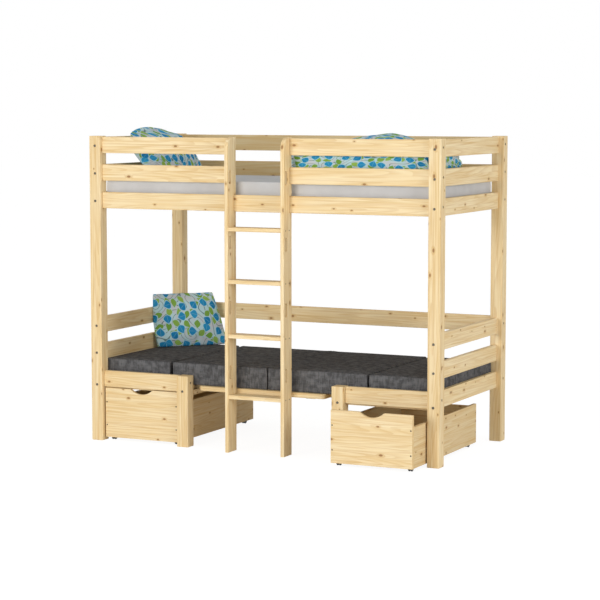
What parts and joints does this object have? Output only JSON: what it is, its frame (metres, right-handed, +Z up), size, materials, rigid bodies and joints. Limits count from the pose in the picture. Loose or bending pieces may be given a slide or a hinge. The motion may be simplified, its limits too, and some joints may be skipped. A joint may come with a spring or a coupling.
{
  "type": "bunk bed",
  "caption": "Pine bunk bed with an upper sleeping deck, a ladder, and a lower bunk of benches and a lift-out table board over storage drawers on castors.",
  "frame": {"origin": "centre of the footprint on the floor, between the front of the pulled drawer and the rear posts", "axes": "+X along the bed towards the pulled drawer's end, -Y towards the ladder side, +Z up"},
  "size_m": [2.14, 1.2, 1.7857],
  "materials": {
    "pine": "clear satin lacquer",
    "plywood": "bare matte",
    "zinc_steel": "zinc plated",
    "castor_grey": "satin",
    "wheel_black": "matte",
    "charcoal_fabric": "woven, matte",
    "mattress_fabric": "woven ticking, matte",
    "printed_cotton": "printed cotton, matte"
  },
  "bodies": {
    "bed_frame": {"board_ledges": "pine", "cushion_seat_left": "charcoal_fabric", "cushion_seat_right": "charcoal_fabric", "frame_bolts": "zinc_steel", "frame_nuts": "zinc_steel", "guard_rails_front_left": "pine", "guard_rails_front_right": "pine", "guard_rails_rear": "pine", "ladder_rung_1": "pine", "ladder_rung_2": "pine", "ladder_rung_3": "pine", "ladder_rung_4": "pine", "ladder_screws": "zinc_steel", "ladder_stile_left": "pine", "ladder_stile_right": "pine", "lower_back_rail": "pine", "lower_end_rails_left": "pine", "lower_end_rails_right": "pine", "mattress_upper": "mattress_fabric", "pillow_lower": "printed_cotton", "pillow_upper": "printed_cotton", "post_front_left": "pine", "post_front_right": "pine", "post_rear_left": "pine", "post_rear_right": "pine", "quilt_upper": "printed_cotton", "seat_cross_rails": "pine", "seat_rail_front_left": "pine", "seat_rail_front_right": "pine", "seat_rail_rear": "pine", "seat_slats_left": "pine", "seat_slats_right": "pine", "short_post_left": "pine", "short_post_right": "pine", "side_rail_front": "pine", "side_rail_rear": "pine", "slat_cleats": "pine", "upper_end_rails_left": "pine", "upper_end_rails_right": "pine", "upper_slats": "pine"},
    "drawer_left": {"drawer_left_back": "pine", "drawer_left_bottom": "plywood", "drawer_left_castors": "castor_grey", "drawer_left_front": "pine", "drawer_left_screws": "zinc_steel", "drawer_left_sides": "pine"},
    "drawer_right": {"drawer_right_back": "pine", "drawer_right_bottom": "plywood", "drawer_right_castors": "castor_grey", "drawer_right_front": "pine", "drawer_right_screws": "zinc_steel", "drawer_right_sides": "pine"},
    "drawer_left_front_wheels": {"drawer_left_wheels_front": "wheel_black"},
    "drawer_left_rear_wheels": {"drawer_left_wheels_rear": "wheel_black"},
    "drawer_right_front_wheels": {"drawer_right_wheels_front": "wheel_black"},
    "drawer_right_rear_wheels": {"drawer_right_wheels_rear": "wheel_black"},
    "table": {"table_board": "pine", "table_battens": "pine"},
    "centre_cushions": {"cushion_centre_left": "charcoal_fabric", "cushion_centre_right": "charcoal_fabric"}
  },
  "joints": [
    {"name": "drawer_left_slide", "type": "slide", "parent": "bed_frame", "child": "drawer_left", "axis": [0, -1, 0], "range_m": [0, 0.75]},
    {"name": "drawer_left_front_wheels_spin", "type": "hinge", "parent": "drawer_left", "child": "drawer_left_front_wheels", "pos_m": [-0.7565, -0.347, 0.018], "axis": [1, 0, 0], "range_deg": [0, 2389]},
    {"name": "drawer_left_rear_wheels_spin", "type": "hinge", "parent": "drawer_left", "child": "drawer_left_rear_wheels", "pos_m": [-0.7565, 0.479, 0.018], "axis": [1, 0, 0], "range_deg": [0, 2389]},
    {"name": "drawer_right_slide", "type": "slide", "parent": "bed_frame", "child": "drawer_right", "axis": [0, -1, 0], "range_m": [-0.203, 0.547]},
    {"name": "drawer_right_front_wheels_spin", "type": "hinge", "parent": "drawer_right", "child": "drawer_right_front_wheels", "pos_m": [0.7565, -0.55, 0.018], "axis": [1, 0, 0], "range_deg": [-648, 1743]},
    {"name": "drawer_right_rear_wheels_spin", "type": "hinge", "parent": "drawer_right", "child": "drawer_right_rear_wheels", "pos_m": [0.7565, 0.276, 0.018], "axis": [1, 0, 0], "range_deg": [-648, 1743]},
    {"name": "table_lift", "type": "slide", "parent": "bed_frame", "child": "table", "axis": [0, 0, 1], "range_m": [0, 0.34]},
    {"name": "centre_cushions_lift", "type": "slide", "parent": "table", "child": "centre_cushions", "axis": [0, 0, 1], "range_m": [0, 0.3]}
  ],
  "couplings": [
    {"joint": "drawer_left_front_wheels_spin", "follows": "drawer_left_slide", "rad_per_m": 55.556},
    {"joint": "drawer_left_rear_wheels_spin", "follows": "drawer_left_slide", "rad_per_m": 55.556},
    {"joint": "drawer_right_front_wheels_spin", "follows": "drawer_right_slide", "rad_per_m": 55.556},
    {"joint": "drawer_right_rear_wheels_spin", "follows": "drawer_right_slide", "rad_per_m": 55.556}
  ]
}
